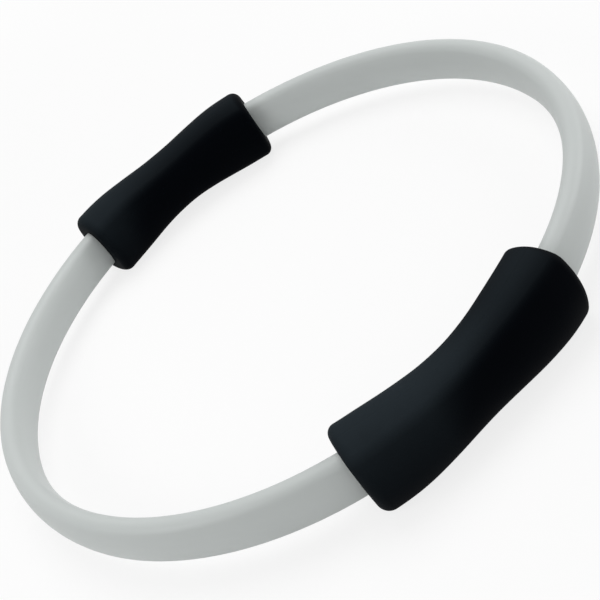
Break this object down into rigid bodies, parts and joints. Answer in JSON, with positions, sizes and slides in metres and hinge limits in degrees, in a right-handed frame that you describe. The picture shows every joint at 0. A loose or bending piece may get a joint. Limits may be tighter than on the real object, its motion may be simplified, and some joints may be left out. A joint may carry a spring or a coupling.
{
  "type": "pilates ring",
  "caption": "Round sprung exercise ring: a grey foam sleeve over fibreglass leaves, with padded black grips on opposite sides that are squeezed together or pulled apart.",
  "frame": {"origin": "centre of the ring, midway through its width", "axes": "+Z along the ring's axis, +Y from the near grip to the far grip along the squeeze, +X to the right"},
  "size_m": [0.38, 0.3982, 0.0454],
  "materials": {
    "pad_foam": "matte moulded foam",
    "sleeve_foam": "satin foam skin",
    "clamp_plastic": "moulded",
    "leaf_fibreglass": "resin skin",
    "fastener_steel": "zinc plated"
  },
  "bodies": {
    "near_grip": {"near_outer_pad": "pad_foam", "near_inner_pad": "pad_foam", "near_outer_clamp": "clamp_plastic", "near_inner_clamp": "clamp_plastic", "near_screws": "fastener_steel", "near_washers": "fastener_steel", "near_nuts": "fastener_steel"},
    "far_grip": {"far_outer_pad": "pad_foam", "far_inner_pad": "pad_foam", "far_outer_clamp": "clamp_plastic", "far_inner_clamp": "clamp_plastic", "far_screws": "fastener_steel", "far_washers": "fastener_steel", "far_nuts": "fastener_steel"},
    "left_inner_spring": {"left_sleeve": "sleeve_foam", "left_inner_leaf": "leaf_fibreglass"},
    "left_outer_spring": {"left_outer_leaf": "leaf_fibreglass"},
    "right_inner_spring": {"right_sleeve": "sleeve_foam", "right_inner_leaf": "leaf_fibreglass"},
    "right_outer_spring": {"right_outer_leaf": "leaf_fibreglass"}
  },
  "joints": [
    {"name": "squeeze", "type": "slide", "parent": "near_grip", "child": "far_grip", "axis": [0, -1, 0], "range_m": [-0.03, 0.09], "stiffness_N_per_m": 1430, "deforming": ["left_sleeve", "left_inner_leaf", "left_outer_leaf", "right_sleeve", "right_inner_leaf", "right_outer_leaf"]},
    {"name": "left_inner_flex", "type": "slide", "parent": "near_grip", "child": "left_inner_spring", "axis": [-0.6771, -0.7359, 0], "range_m": [-0.02042, 0.06127]},
    {"name": "left_outer_flex", "type": "slide", "parent": "far_grip", "child": "left_outer_spring", "axis": [-0.6771, 0.7359, 0], "range_m": [-0.02042, 0.06127]},
    {"name": "right_inner_flex", "type": "slide", "parent": "near_grip", "child": "right_inner_spring", "axis": [0.6771, -0.7359, 0], "range_m": [-0.02042, 0.06127]},
    {"name": "right_outer_flex", "type": "slide", "parent": "far_grip", "child": "right_outer_spring", "axis": [0.6771, 0.7359, 0], "range_m": [-0.02042, 0.06127]}
  ],
  "couplings": [
    {"joint": "left_inner_flex", "follows": "squeeze", "ratio": 0.67941},
    {"joint": "left_outer_flex", "follows": "squeeze", "ratio": 0.67941},
    {"joint": "right_inner_flex", "follows": "squeeze", "ratio": 0.67941},
    {"joint": "right_outer_flex", "follows": "squeeze", "ratio": 0.67941}
  ]
}
